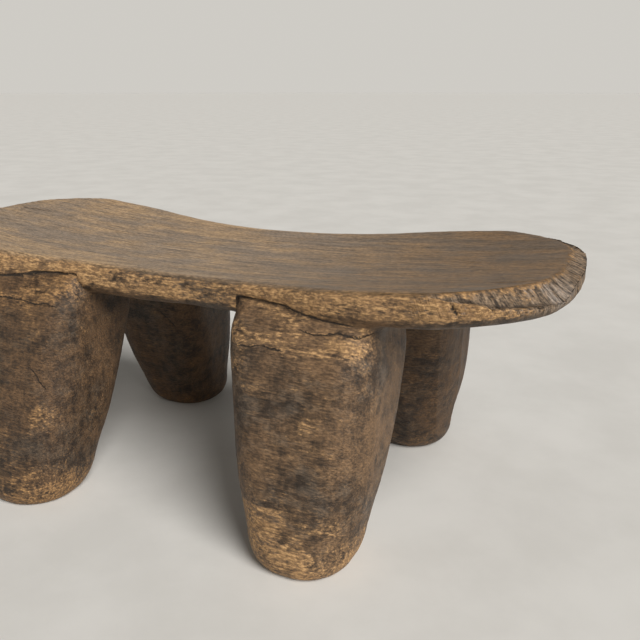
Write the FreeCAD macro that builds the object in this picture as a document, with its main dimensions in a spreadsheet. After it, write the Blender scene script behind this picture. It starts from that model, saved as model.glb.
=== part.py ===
"""A low four-legged carved headrest in the form of a small stool, cut from one log.

Millimetres. +X runs along the seat and along the log's grain, +Y across it, +Z up.
The origin lies on the floor, under the middle of the seat.

The seat is cut the way a carver works the blank: the plan outline is padded, its long
sides are hollowed to a waist, the top is dished in both directions, the underside is
rounded like a shallow hull, and both rims are rounded over. Each leg is a loft through
rounded squares that runs up into the seat, and the seat is then cut from it, so the two
meet face to face.
"""

import FreeCAD, Part

import math
import os

import Sketcher
from FreeCAD import Vector

OUT_FOLDER = "parts"

# Driving dimensions: alias, value, what it is.
DIMENSIONS = [
    ("seat_length", 540.0, "over both ends"),
    ("seat_width", 214.0, "at the widest, over the shoulders"),
    ("waist_width", 176.0, "across the middle"),
    ("end_bow_radius", 330.0, "plan radius of each bowed end"),
    ("corner_radius", 66.0, "plan radius of each corner"),
    ("waist_radius", 560.0, "plan radius of each hollowed side"),
    ("shoulder_radius", 180.0, "plan radius where waist meets side"),
    ("end_height", 200.0, "dish surface above the floor at the ends"),
    ("dish_rise", 19.0, "ends above the middle, along the seat"),
    ("cross_radius", 850.0, "radius of the dish across the seat"),
    ("dish_sweep", 40.0, "degrees the dish's cutter swings through, wider than the seat"),
    ("hull_height", 155.0, "underside above the floor, at the middle"),
    ("hull_rise", 20.0, "underside at the ends above the middle"),
    ("hull_radius", 500.0, "radius of the underside across the seat"),
    ("hull_sweep", 60.0, "degrees the underside's cutter swings through"),
    ("top_round", 5.0, "radius of the upper rim"),
    ("bottom_round", 10.0, "radius of the lower rim"),
    ("blank_margin", 30.0, "spare stock round the finished seat"),
    ("leg_run", 158.0, "height over which a leg takes its shape"),
    ("leg_sink", 18.0, "how far a leg's loft runs on into the seat"),
    ("foot_half", 34.0, "half width of a leg at the floor"),
    ("leg_half_long", 52.0, "half width of a leg at its top, along the seat"),
    ("leg_half_cross", 45.0, "half width of a leg at its top, across the seat"),
    ("leg_taper", 2.6, "power of a leg's barrel taper"),
    ("foot_corner", 0.92, "corner radius at the floor, as a share of the half width"),
    ("head_corner", 0.5, "corner radius at a leg's head, as a share of the half width"),
    ("head_draw", 14.0, "how far a leg's head draws in across the seat, under the rim"),
    ("sole_draw", 4.5, "how far the worn sole draws in from the foot above it"),
]

# Each leg was cut by eye, so each has its own places: label, side along X, side across Y,
# then how far its foot and its head stand from the middle, along and across the seat.
LEGS = [
    ("leg_front_right", 1, -1, {"foot": (117.0, 98.0), "head": (114.5, 67.0)}),
    ("leg_front_left", -1, -1, {"foot": (118.0, 107.0), "head": (119.0, 67.0)}),
    ("leg_back_left", -1, 1, {"foot": (115.0, 101.0), "head": (114.0, 67.0)}),
    ("leg_back_right", 1, 1, {"foot": (124.0, 110.0), "head": (127.0, 67.0)}),
]

# Sections of a leg: height as a share of leg_run, what is added to that height, and what
# the section draws in by along the seat and across it. Each is an alias, or empty for none.
SECTIONS = [
    (0.0, "", "sole_draw", "sole_draw"),
    (0.04, "", "", ""),
    (0.16, "", "", ""),
    (0.34, "", "", ""),
    (0.56, "", "", ""),
    (0.78, "", "", ""),
    (0.92, "", "", ""),
    (1.0, "leg_sink", "", "head_draw"),
]

SAME_PLACE = 1e-3


def make_sheet(doc):
    """Spreadsheet of the driving dimensions, one alias to a row, with the legs' places below."""
    sheet = doc.addObject("Spreadsheet::Sheet", "dims")
    rows = list(DIMENSIONS)
    for label, _, _, places in LEGS:
        for end, (along, across) in places.items():
            rows.append((f"{label}_{end}_along", along, f"centre of the {end} from the middle"))
            rows.append((f"{label}_{end}_across", across, f"centre of the {end} from the middle"))
    for row, (alias, value, meaning) in enumerate(rows, start=1):
        sheet.set(f"A{row}", alias)
        sheet.set(f"B{row}", str(value))
        sheet.set(f"C{row}", meaning)
        sheet.setAlias(f"B{row}", alias)
    doc.recompute()
    return sheet


def origin_plane(body, role):
    """The body's own origin plane or axis with that role."""
    return next(item for item in body.Origin.OriginFeatures if item.Role == role)


def new_sketch(body, name, plane):
    """Empty sketch on one of the body's own origin planes."""
    sketch = body.newObject("Sketcher::SketchObject", name)
    sketch.AttachmentSupport = [(origin_plane(body, plane), "")]
    sketch.MapMode = "FlatFace"
    return sketch


def join_ends(sketch, links):
    """Makes each pair of end points coincide: (geometry, point, geometry, point)."""
    for first, first_point, second, second_point in links:
        sketch.addConstraint(
            Sketcher.Constraint("Coincident", first, first_point, second, second_point)
        )


def bind(sketch, kind, parts, name, expression):
    """Adds a dimension to a sketch and drives it from the spreadsheet."""
    index = sketch.addConstraint(Sketcher.Constraint(kind, *parts))
    sketch.renameConstraint(index, name)
    sketch.setExpression("Constraints." + name, expression)


def set_offset(sketch, axis, expression):
    """Drives one coordinate of a sketch's offset from its plane."""
    sketch.setExpression("AttachmentOffset.Base." + axis, expression)


def add_line(sketch, start, end):
    """Adds a straight line between two (x, y) points and gives its number."""
    return sketch.addGeometry(Part.LineSegment(Vector(*start, 0), Vector(*end, 0)), False)


def add_arc(sketch, centre, radius, middle_angle, half_angle):
    """Adds an arc that runs anticlockwise through middle_angle and gives its number."""
    circle = Part.Circle(Vector(*centre, 0), Vector(0, 0, 1), radius)
    arc = Part.ArcOfCircle(circle, middle_angle - half_angle, middle_angle + half_angle)
    return sketch.addGeometry(arc, False)


def edges_where(feature, test):
    """Names of the feature's edges that pass the test."""
    return [f"Edge{i}" for i, edge in enumerate(feature.Shape.Edges, start=1) if test(edge)]


def is_vertical(edge):
    """Whether both ends of an edge stand on one plan point, one above the other."""
    if len(edge.Vertexes) != 2:
        return False
    low, high = (vertex.Point for vertex in edge.Vertexes)
    flat = Vector(high.x - low.x, high.y - low.y, 0).Length
    return flat < SAME_PLACE and abs(high.z - low.z) > SAME_PLACE


def add_fillet(body, name, base, edges, expression):
    """Rounds the named edges of base by a radius from the spreadsheet."""
    fillet = body.newObject("PartDesign::Fillet", name)
    fillet.Base = (base, edges)
    fillet.setExpression("Radius", expression)
    body.Document.recompute()
    return fillet


def seat_outline(body, size):
    """Plan of the blank: straight sides and bowed ends."""
    sketch = new_sketch(body, "seat_plan", "XY_Plane")
    half_width = size("seat_width") / 2
    bow = size("end_bow_radius")
    inset = bow - size("seat_length") / 2
    half_angle = math.asin(half_width / bow)
    corner = bow * math.cos(half_angle) - inset
    front = add_line(sketch, (-corner, -half_width), (corner, -half_width))
    right = add_arc(sketch, (-inset, 0), bow, 0, half_angle)
    back = add_line(sketch, (corner, half_width), (-corner, half_width))
    left = add_arc(sketch, (inset, 0), bow, math.pi, half_angle)
    join_ends(
        sketch,
        [(front, 2, right, 1), (right, 2, back, 1), (back, 2, left, 1), (left, 2, front, 1)],
    )
    for line in (front, back):
        sketch.addConstraint(Sketcher.Constraint("Horizontal", line))
    for arc in (right, left):
        sketch.addConstraint(Sketcher.Constraint("PointOnObject", arc, 3, -1))
    bind(sketch, "Radius", (right, bow), "right_bow", "dims.end_bow_radius")
    bind(sketch, "Radius", (left, bow), "left_bow", "dims.end_bow_radius")
    reach = "dims.end_bow_radius - dims.seat_length / 2"
    bind(sketch, "DistanceX", (right, 3, -1, 1, inset), "right_centre", reach)
    bind(sketch, "DistanceX", (-1, 1, left, 3, inset), "left_centre", reach)
    bind(sketch, "DistanceY", (front, 1, -1, 1, half_width), "front_side", "dims.seat_width / 2")
    bind(sketch, "DistanceY", (-1, 1, back, 1, half_width), "back_side", "dims.seat_width / 2")
    return sketch


def seat_blank(body, size):
    """Thick slab with the seat's plan and rounded corners."""
    sketch = seat_outline(body, size)
    set_offset(sketch, "z", "dims.hull_height - dims.blank_margin")
    pad = body.newObject("PartDesign::Pad", "seat_blank")
    pad.Profile = sketch
    pad.setExpression("Length", "dims.end_height - dims.hull_height + 2 * dims.blank_margin")
    body.Document.recompute()
    return add_fillet(
        body, "blank_corners", pad, edges_where(pad, is_vertical), "dims.corner_radius"
    )


def hollow_sides(body, size):
    """Cuts one large round out of each long side, and eases it into the side."""
    sketch = new_sketch(body, "waist_rounds", "XY_Plane")
    radius = size("waist_radius")
    out = size("waist_width") / 2 + radius
    reach = "dims.waist_width / 2 + dims.waist_radius"
    for name, side in (("back", 1), ("front", -1)):
        circle = Part.Circle(Vector(0, side * out, 0), Vector(0, 0, 1), radius)
        index = sketch.addGeometry(circle, False)
        sketch.addConstraint(Sketcher.Constraint("PointOnObject", index, 3, -2))
        bind(sketch, "Radius", (index, radius), name + "_round", "dims.waist_radius")
        ends = (-1, 1, index, 3) if side > 0 else (index, 3, -1, 1)
        bind(sketch, "DistanceY", (*ends, out), name + "_reach", reach)
    pocket = body.newObject("PartDesign::Pocket", "waist")
    pocket.Profile = sketch
    pocket.Type = "ThroughAll"
    pocket.SideType = "Symmetric"
    body.Document.recompute()
    shoulder_run = math.sqrt(radius**2 - (out - size("seat_width") / 2) ** 2)

    def is_shoulder(edge):
        off_line = abs(edge.Vertexes[0].X) - shoulder_run
        return is_vertical(edge) and abs(off_line) < SAME_PLACE

    return add_fillet(
        body, "waist_shoulders", pocket, edges_where(pocket, is_shoulder), "dims.shoulder_radius"
    )


def long_arc_profile(sketch, radius, centre_height, half_run, far_height):
    """Closed profile between a long shallow arc and a straight line at far_height.

    Gives the numbers of the arc and of the straight line.
    """
    half_angle = math.asin(half_run / radius)
    arc_end = centre_height - radius * math.cos(half_angle)
    arc = add_arc(sketch, (0, centre_height), radius, 1.5 * math.pi, half_angle)
    right = add_line(sketch, (half_run, arc_end), (half_run, far_height))
    far = add_line(sketch, (half_run, far_height), (-half_run, far_height))
    left = add_line(sketch, (-half_run, far_height), (-half_run, arc_end))
    join_ends(sketch, [(arc, 2, right, 1), (right, 2, far, 1), (far, 2, left, 1), (left, 2, arc, 1)])
    for line in (right, left):
        sketch.addConstraint(Sketcher.Constraint("Vertical", line))
    sketch.addConstraint(Sketcher.Constraint("PointOnObject", arc, 3, -2))
    run = "dims.seat_length / 2 + dims.blank_margin"
    bind(sketch, "DistanceX", (-1, 1, right, 1, half_run), "right_run", run)
    bind(sketch, "DistanceX", (left, 1, -1, 1, half_run), "left_run", run)
    return arc, far


def arc_radius(size, rise):
    """Radius of the arc that climbs by rise from the seat's middle to its ends."""
    half = size("seat_length") / 2
    return (half**2 + rise**2) / (2 * rise)


def arc_radius_text(rise):
    """The same as arc_radius, as a spreadsheet expression."""
    return f"((dims.seat_length / 2) ^ 2 + dims.{rise} ^ 2) / (2 * dims.{rise})"


def swung_cut(body, size, name, across_alias, rise_alias, sweep_alias, near):
    """Swings a shallow arc about a far-off axis along the seat, and cuts one side of it away.

    The arc climbs by the rise from the seat's middle to its ends. near cuts between the arc
    and the axis, which dishes the top; otherwise the cut is beyond the arc, which rounds the
    underside across. Gives the groove and its sketch.
    """
    sketch = new_sketch(body, name + "_line", "XZ_Plane")
    across = size(across_alias)
    radius = arc_radius(size, size(rise_alias))
    half_run = size("seat_length") / 2 + size("blank_margin")
    far_height = 0 if near else -across - 2 * size("blank_margin")
    arc, far = long_arc_profile(sketch, radius, radius - across, half_run, far_height)
    text = arc_radius_text(rise_alias)
    bind(sketch, "Radius", (arc, radius), "arc_radius", text)
    centre_text = f"{text} - dims.{across_alias}"
    bind(sketch, "DistanceY", (-1, 1, arc, 3, radius - across), "arc_centre", centre_text)
    if near:
        for point in (1, 2):
            sketch.addConstraint(Sketcher.Constraint("PointOnObject", far, point, -1))
    else:
        sketch.addConstraint(Sketcher.Constraint("Horizontal", far))
        far_text = f"dims.{across_alias} + 2 * dims.blank_margin"
        bind(sketch, "DistanceY", (far, 1, -1, 1, -far_height), "far_line", far_text)
    groove = body.newObject("PartDesign::Groove", name)
    groove.Profile = sketch
    groove.ReferenceAxis = (sketch, ["H_Axis"])
    groove.Midplane = True
    groove.setExpression("Angle", "dims." + sweep_alias)
    return groove, sketch


def dish_top(body, size):
    """Dips the top both along and across the seat."""
    dish, sketch = swung_cut(body, size, "dish", "cross_radius", "dish_rise", "dish_sweep", True)
    set_offset(sketch, "y", "dims.end_height - dims.dish_rise + dims.cross_radius")
    body.Document.recompute()
    return dish


def round_underside(body, size):
    """Rounds the underside like a shallow hull that lifts towards both ends."""
    hull, sketch = swung_cut(body, size, "hull", "hull_radius", "hull_rise", "hull_sweep", False)
    set_offset(sketch, "y", "dims.hull_height + dims.hull_radius")
    body.Document.recompute()
    return hull


def round_rims(body, size, base):
    """Rounds both rims of the seat over."""
    half_length = size("seat_length") / 2
    middle_top = size("end_height") - size("dish_rise")

    def is_above_middle(vertex):
        climb = (vertex.X / half_length) ** 2
        top = middle_top + size("dish_rise") * climb + vertex.Y**2 / (2 * size("cross_radius"))
        bottom = (
            size("hull_height") + size("hull_rise") * climb + vertex.Y**2 / (2 * size("hull_radius"))
        )
        return vertex.Z > (top + bottom) / 2

    def is_upper(edge):
        return all(is_above_middle(vertex) for vertex in edge.Vertexes)

    def is_lower(edge):
        return not any(is_above_middle(vertex) for vertex in edge.Vertexes)

    upper = add_fillet(body, "upper_rim", base, edges_where(base, is_upper), "dims.top_round")
    return add_fillet(body, "lower_rim", upper, edges_where(upper, is_lower), "dims.bottom_round")


def make_seat(doc, size):
    """The dished slab."""
    body = doc.addObject("PartDesign::Body", "seat")
    seat_blank(body, size)
    hollow_sides(body, size)
    dish_top(body, size)
    underside = round_underside(body, size)
    body.Tip = round_rims(body, size, underside)
    doc.recompute()
    return body


def rounded_square(sketch, half_long, half_cross, round_off, long_text, cross_text, round_text):
    """Draws a rounded square about the sketch's origin."""
    flat_long = half_long - round_off
    flat_cross = half_cross - round_off
    corners = [(1, 1), (-1, 1), (-1, -1), (1, -1)]
    arcs = [
        add_arc(
            sketch,
            (side_x * flat_long, side_y * flat_cross),
            round_off,
            math.pi * (0.25 + 0.5 * quarter),
            math.pi / 4,
        )
        for quarter, (side_x, side_y) in enumerate(corners)
    ]
    back = add_line(sketch, (flat_long, half_cross), (-flat_long, half_cross))
    left = add_line(sketch, (-half_long, flat_cross), (-half_long, -flat_cross))
    front = add_line(sketch, (-flat_long, -half_cross), (flat_long, -half_cross))
    right = add_line(sketch, (half_long, -flat_cross), (half_long, flat_cross))
    sides = [back, left, front, right]
    for quarter, side in enumerate(sides):
        following = arcs[(quarter + 1) % len(arcs)]
        sketch.addConstraint(Sketcher.Constraint("Tangent", arcs[quarter], 2, side, 1))
        sketch.addConstraint(Sketcher.Constraint("Tangent", side, 2, following, 1))
    for line in (back, front):
        sketch.addConstraint(Sketcher.Constraint("Horizontal", line))
    for line in (left, right):
        sketch.addConstraint(Sketcher.Constraint("Vertical", line))
    for arc in arcs[1:]:
        sketch.addConstraint(Sketcher.Constraint("Equal", arcs[0], arc))
    bind(sketch, "Radius", (arcs[0], round_off), "corner", round_text)
    bind(sketch, "DistanceX", (-1, 1, right, 1, half_long), "right_half", long_text)
    bind(sketch, "DistanceX", (left, 1, -1, 1, half_long), "left_half", long_text)
    bind(sketch, "DistanceY", (-1, 1, back, 1, half_cross), "back_half", cross_text)
    bind(sketch, "DistanceY", (front, 1, -1, 1, half_cross), "front_half", cross_text)


def barrel_text(top, share, draw):
    """Half width of a leg at a share of its height, as a spreadsheet expression."""
    swell = f"dims.foot_half + (dims.{top} - dims.foot_half) * (1 - (1 - {share}) ^ dims.leg_taper)"
    return f"{swell} - dims.{draw}" if draw else swell


def barrel(size, top, share, draw):
    """The same as barrel_text, as a number."""
    foot = size("foot_half")
    swell = foot + (size(top) - foot) * (1 - (1 - share) ** size("leg_taper"))
    return swell - size(draw) if draw else swell


def leg_section(body, size, leg, index):
    """One rounded square across the leg: nearly round at the foot, squarer at the head."""
    label, side_x, side_y, _ = leg
    share, lift, draw_long, draw_cross = SECTIONS[index]
    sketch = new_sketch(body, f"{label}_section_{index}", "XY_Plane")
    half_long = barrel(size, "leg_half_long", share, draw_long)
    long_text = barrel_text("leg_half_long", share, draw_long)
    half_cross = barrel(size, "leg_half_cross", share, draw_cross)
    cross_text = barrel_text("leg_half_cross", share, draw_cross)
    corner = size("foot_corner") + (size("head_corner") - size("foot_corner")) * share
    corner_text = f"dims.foot_corner + (dims.head_corner - dims.foot_corner) * {share}"
    round_text = f"({corner_text}) * ({cross_text})"
    rounded_square(
        sketch, half_long, half_cross, corner * half_cross, long_text, cross_text, round_text
    )
    for axis, side, way in (("x", side_x, "along"), ("y", side_y, "across")):
        foot = f"dims.{label}_foot_{way}"
        head = f"dims.{label}_head_{way}"
        set_offset(sketch, axis, f"{side} * ({foot} + ({head} - {foot}) * {share})")
    lift_text = f" + dims.{lift}" if lift else ""
    set_offset(sketch, "z", f"{share} * dims.leg_run{lift_text}")
    return sketch


def make_leg_blank(doc, size, leg):
    """Barrel-shaped leg that stands on its drawn-in sole and runs on up into the seat."""
    body = doc.addObject("PartDesign::Body", leg[0] + "_blank")
    sections = [leg_section(body, size, leg, index) for index in range(len(SECTIONS))]
    loft = body.newObject("PartDesign::AdditiveLoft", leg[0] + "_loft")
    loft.Profile = sections[0]
    loft.Sections = sections[1:]
    body.Tip = loft
    doc.recompute()
    return body


def fit_leg(doc, leg, blank, seat):
    """Cuts the seat out of the leg's blank, so the leg ends on the seat's underside."""
    cut = doc.addObject("Part::Cut", leg[0])
    cut.Base = blank
    cut.Tool = seat
    cut.Label = leg[0]
    return cut


def check(doc, pieces):
    """Stops if any object failed, a cut took nothing away, or a piece isn't one valid solid."""
    for item in doc.Objects:
        if "Invalid" in item.State or "Error" in item.State:
            raise RuntimeError(f"{item.Name} failed: {item.State}")
        is_cut = item.isDerivedFrom("PartDesign::Pocket") or item.isDerivedFrom("PartDesign::Groove")
        if is_cut and item.Shape.Volume >= item.BaseFeature.Shape.Volume:
            raise RuntimeError(f"{item.Name} took nothing away")
    for piece in pieces:
        shape = piece.Shape
        if shape.isNull() or not shape.isValid() or len(shape.Solids) != 1:
            raise RuntimeError(f"{piece.Label} isn't one valid solid")
        box = shape.BoundBox
        print(
            f"{piece.Label}: {shape.Volume / 1000:.1f} cm3,"
            f" x {box.XMin:.1f} to {box.XMax:.1f}, y {box.YMin:.1f} to {box.YMax:.1f},"
            f" z {box.ZMin:.1f} to {box.ZMax:.1f}"
        )


def main():
    doc = FreeCAD.newDocument("headrest")
    sheet = make_sheet(doc)

    def size(alias):
        return float(sheet.get(alias))

    seat = make_seat(doc, size)
    legs = []
    for leg in LEGS:
        blank = make_leg_blank(doc, size, leg)
        legs.append(fit_leg(doc, leg, blank, seat))
    doc.recompute()
    pieces = [seat, *legs]
    check(doc, pieces)
    os.makedirs(OUT_FOLDER, exist_ok=True)
    for piece in pieces:
        piece.Shape.exportStep(os.path.join(OUT_FOLDER, piece.Label + ".step"))


main()
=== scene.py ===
"""Looks of the carved headrest: one log, worked with an adze, darkened by handling and worn at its edges.

Metres, in the frame's own axes: +X along the seat and the wood's grain, +Y across, +Z up.

The frame's seat and legs are merged into one skin, the way the real block is one piece of wood.
The skin is eased where legs meet underside, given tool marks, grain, cracks and chips, and then
cut into one closed piece per CAD node. What the carving knows about each point (how worn, how
polished, how deep in a crack) is kept on the mesh for the wood material to read.
"""

import itertools

import bmesh
import bpy
import numpy as np
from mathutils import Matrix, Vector
from mathutils.bvhtree import BVHTree


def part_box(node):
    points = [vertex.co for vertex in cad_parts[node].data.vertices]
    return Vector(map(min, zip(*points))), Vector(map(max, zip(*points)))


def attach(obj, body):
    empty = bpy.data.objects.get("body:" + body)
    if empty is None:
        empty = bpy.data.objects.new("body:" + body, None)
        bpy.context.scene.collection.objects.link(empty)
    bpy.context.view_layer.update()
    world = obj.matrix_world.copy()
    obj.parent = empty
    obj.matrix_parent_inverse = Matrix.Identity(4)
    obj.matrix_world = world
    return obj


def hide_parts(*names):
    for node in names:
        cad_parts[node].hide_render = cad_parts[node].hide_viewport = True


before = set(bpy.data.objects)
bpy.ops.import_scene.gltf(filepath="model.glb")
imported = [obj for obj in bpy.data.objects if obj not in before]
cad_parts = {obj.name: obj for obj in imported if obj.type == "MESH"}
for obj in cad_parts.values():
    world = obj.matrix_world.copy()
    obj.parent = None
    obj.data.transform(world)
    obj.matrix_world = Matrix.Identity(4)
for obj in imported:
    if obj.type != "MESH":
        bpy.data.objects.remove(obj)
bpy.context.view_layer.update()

MM = 0.001
SEAT = "seat"
LEGS = ["leg_front_right", "leg_front_left", "leg_back_left", "leg_back_right"]

VOXEL = 1.65 * MM  # size of the skin's faces
SEAM_REACH = 4.0  # mm: skin this near the CAD seat belongs to the seat's piece
SEAM_CLEARANCE = 0.05  # mm: no skin point is left nearer the seam than this, or cutting leaves slivers

# Camera, where the photographer stood.
CAMERA_PLACE = (0.3048, -0.4794, 0.307)
CAMERA_AIM = (-0.4001, 0.8632, -0.3079)
CAMERA_LENS = 40.5
CAMERA_SENSOR = 36.0


# ---------------------------------------------------------------- fields


def smooth_step(value, low, high):
    """0 below low, 1 above high, and a smooth climb between them. low may be the larger."""
    share = np.clip((value - low) / (high - low), 0, 1)
    return share * share * (3 - 2 * share)


def gradient_noise(points, seed):
    """Perlin noise, about -1 to 1, with one cell to each unit of the points."""
    random = np.random.default_rng(seed)
    shuffle = random.permutation(256)
    slopes = random.normal(size=(256, 3))
    slopes /= np.linalg.norm(slopes, axis=1, keepdims=True)
    cell = np.floor(points).astype(np.int64)
    inside = points - cell
    fade = inside**3 * (inside * (inside * 6 - 15) + 10)
    total = np.zeros(len(points))
    for corner in itertools.product((0, 1), repeat=3):
        place = cell + corner
        pick = shuffle[place[:, 0] & 255]
        pick = shuffle[(pick + place[:, 1]) & 255]
        pick = shuffle[(pick + place[:, 2]) & 255]
        weight = np.prod(np.where(corner, fade, 1 - fade), axis=1)
        total += weight * np.einsum("ij,ij->i", slopes[pick], inside - corner)
    return total * 1.5


def layered_noise(points, size, seed, layers=3):
    """Noise of that size in mm along each axis, with finer and fainter layers on top."""
    scaled = points / np.asarray(size, float)
    total = np.zeros(len(points))
    strength = 1.0
    for layer in range(layers):
        total += strength * gradient_noise(scaled * 2**layer, seed + layer)
        strength *= 0.5
    return total


def scallops(points, size, seed):
    """Squared distance to the nearest of one random point per cell: adze scoops of that size in mm."""
    random = np.random.default_rng(seed)
    shuffle = random.permutation(256)
    spots = random.random((256, 3))
    scaled = points / np.asarray(size, float)
    cell = np.floor(scaled).astype(np.int64)
    nearest = np.full(len(points), 9.0)
    for step in itertools.product((-1, 0, 1), repeat=3):
        place = cell + step
        pick = shuffle[place[:, 0] & 255]
        pick = shuffle[(pick + place[:, 1]) & 255]
        pick = shuffle[(pick + place[:, 2]) & 255]
        away = place + spots[pick] - scaled
        nearest = np.minimum(nearest, np.einsum("ij,ij->i", away, away))
    return nearest


# ---------------------------------------------------------------- skin


class Skin:
    """The merged surface of seat and legs as arrays, in mm."""

    def __init__(self, mesh):
        count = len(mesh.vertices)
        self.points = np.empty(count * 3)
        mesh.vertices.foreach_get("co", self.points)
        self.points = self.points.reshape(-1, 3) / MM
        mesh.calc_loop_triangles()
        self.faces = np.empty(len(mesh.loop_triangles) * 3, np.int64)
        mesh.loop_triangles.foreach_get("vertices", self.faces)
        self.faces = self.faces.reshape(-1, 3)
        edges = np.empty(len(mesh.edges) * 2, np.int64)
        mesh.edges.foreach_get("vertices", edges)
        self.starts, self.ends = edges.reshape(-1, 2).T
        self.links = np.bincount(self.starts, minlength=count)
        self.links = self.links + np.bincount(self.ends, minlength=count)
        self.masks = {}

    def spread(self, values, rounds):
        """Values averaged with their neighbours, that many times over."""
        count = len(values)
        for _ in range(rounds):
            total = np.bincount(self.starts, values[self.ends], count)
            total += np.bincount(self.ends, values[self.starts], count)
            values = 0.5 * values + 0.5 * total / self.links
        return values

    def relax(self, amount, rounds):
        """Moves each point towards its neighbours' middle, by amount from 0 to 1."""
        for _ in range(rounds):
            for axis in range(3):
                column = self.points[:, axis]
                self.points[:, axis] = column + amount * (self.spread(column, 1) - column)

    def normals(self):
        """Unit outward direction at each point."""
        a, b, c = (self.points[self.faces[:, i]] for i in range(3))
        across = np.cross(b - a, c - a)
        total = np.zeros_like(self.points)
        for corner in range(3):
            for axis in range(3):
                total[:, axis] += np.bincount(
                    self.faces[:, corner], across[:, axis], len(self.points)
                )
        return total / np.linalg.norm(total, axis=1, keepdims=True)

    def push(self, amount):
        """Moves each point out along its normal by that many mm."""
        self.points = self.points + self.normals() * amount[:, None]


def merged_skin():
    """One closed surface round all the CAD nodes, from a voxel remesh."""
    joined = bmesh.new()
    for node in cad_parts.values():
        joined.from_mesh(node.data)
    mesh = bpy.data.meshes.new("blank")
    joined.to_mesh(mesh)
    joined.free()
    blank = bpy.data.objects.new("blank", mesh)
    bpy.context.scene.collection.objects.link(blank)
    remesh = blank.modifiers.new("remesh", "REMESH")
    remesh.mode = "VOXEL"
    remesh.voxel_size = VOXEL
    depsgraph = bpy.context.evaluated_depsgraph_get()
    result = bpy.data.meshes.new_from_object(blank.evaluated_get(depsgraph))
    skin = Skin(result)
    bpy.data.objects.remove(blank)
    bpy.data.meshes.remove(mesh)
    bpy.data.meshes.remove(result)
    return skin


def distance_to(names, points):
    """Distance in mm from each point to those CAD nodes, and which way their surface faces there."""
    shape = bmesh.new()
    for name in names:
        shape.from_mesh(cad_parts[name].data)
    tree = BVHTree.FromBMesh(shape)
    shape.free()
    found = [tree.find_nearest(Vector(point * MM)) for point in points]
    away = np.array([hit[3] for hit in found]) / MM
    facing = np.array([hit[1][:] for hit in found])
    return away, facing


# ---------------------------------------------------------------- carving

# A pair below is the two ends of a smooth_step: mm for a place or height, and a share of the unit
# normal for a facing. Sizes and depths are mm. Softening is rounds of averaging with neighbours.

SEEDS = {
    "bulge": 11,
    "rim": 21,
    "scoop": 31,
    "chop": 41,
    "crease": 51,
    "torn": 61,
    "opening": 67,
    "chip": 71,
    "fibre": 81,
    "lump": 91,
    "pit": 101,
    "grain": 111,
    "patch": 121,
    "crack": 300,
}

JUNCTION_REACH = (15, 5)
JUNCTION_FACING = (0.55, 0.9)
JUNCTION_SOFTENING = 4
JUNCTION_ROUNDS = 45


def ease_junctions(skin, to_seat, to_leg, seat_facing):
    """Melts each leg into the underside with a small hollow, and leaves the outer crease sharp."""
    near = smooth_step(np.maximum(to_seat, to_leg), *JUNCTION_REACH)
    under = smooth_step(-seat_facing[:, 2], *JUNCTION_FACING)
    weight = skin.spread(near * under, JUNCTION_SOFTENING)
    skin.relax(weight, JUNCTION_ROUNDS)


TOP_FACING = (0.55, 0.9)
SIDE_FACING = (0.85, 0.5)
END_FACING = (0.45, 0.8)
END_PLACE = (215, 240)
RIM_FACING = (-0.65, -0.25)
UNDER_FACING = (0.4, 0.8)
OUTER_FACING = (0.1, 0.6)
SHOULDER_HEIGHT = (140, 160)
FOOT_HEIGHT = (46, 2)
# The corners where the chop is steeper and where the end grain gets a painted sheen, a painted reflection.
HANDLED_AND_SHEEN_PLACE = (20, 62)
CREASE_WIDTH = 3.0
CREASE_PLACE = (78, 92)
CREASE_SEAT_FACING = (0.95, 0.7)
CREASE_SKIN_FACING = (0.6, 0.25)
SPLIT_LIMIT = 6
SOFTENING = {"top": 2, "rim": 4, "brink": 60, "end": 2, "under": 3, "leg": 3, "shoulder": 6, "crease": 1}


def mark_regions(skin, to_seat, to_leg, seat_facing):
    """Masks, 0 to 1, for the carving and the wood material, and mm from the line between seat and leg."""
    normals = skin.normals()
    x, y, z = skin.points.T
    on_seat = (to_seat < to_leg).astype(float)
    side = on_seat * smooth_step(np.abs(normals[:, 2]), *SIDE_FACING)
    end = side * smooth_step(np.abs(normals[:, 0]), *END_FACING) * smooth_step(np.abs(x), *END_PLACE)
    outward = smooth_step(np.sign(y) * normals[:, 1], *OUTER_FACING)
    crease = np.exp(-(((to_seat + to_leg) / CREASE_WIDTH) ** 2)) * smooth_step(np.abs(y), *CREASE_PLACE)
    crease *= smooth_step(np.abs(seat_facing[:, 2]), *CREASE_SEAT_FACING)
    crease *= smooth_step(np.abs(normals[:, 0]), *CREASE_SKIN_FACING)
    marks = {
        "top": on_seat * smooth_step(normals[:, 2], *TOP_FACING),
        "rim": side * (1 - end) * smooth_step(normals[:, 2], *RIM_FACING),
        "brink": side,
        "end": end,
        "under": on_seat * smooth_step(-normals[:, 2], *UNDER_FACING),
        "leg": 1 - on_seat,
        "shoulder": (1 - on_seat) * outward * smooth_step(z, *SHOULDER_HEIGHT),
        "foot": (1 - on_seat) * smooth_step(z, *FOOT_HEIGHT),
        "crease": crease,
        # the same corners: a steeper chop, and a painted sheen on the end grain
        "handled_and_sheen": smooth_step(-y * np.sign(x), *HANDLED_AND_SHEEN_PLACE),
        "split": np.clip(to_seat - to_leg, -SPLIT_LIMIT, SPLIT_LIMIT),
    }
    skin.masks = {name: skin.spread(values, SOFTENING.get(name, 0)) for name, values in marks.items()}


TIP_THINNING = 4.0
TIP_PLACE = (196, 268)
TIP_FACING = (0.35, -0.6)
TIP_SOFTENING = 3


def lift_ends(skin):
    """Thins both tips from below, so the seat's underside sweeps up to its ends."""
    normals = skin.normals()
    below = smooth_step(normals[:, 2], *TIP_FACING) * (1 - skin.masks["leg"])
    far = smooth_step(np.abs(skin.points[:, 0]), *TIP_PLACE)
    skin.points[:, 2] += TIP_THINNING * skin.spread(below * far, TIP_SOFTENING)


# The seat's plan and dish, as its CAD has them.
END_BOW = 330.0
CORNER = 66.0
DISH_MIDDLE = 181.0
DISH_RISE = 19.0
CROSS_RADIUS = 850.0


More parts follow.
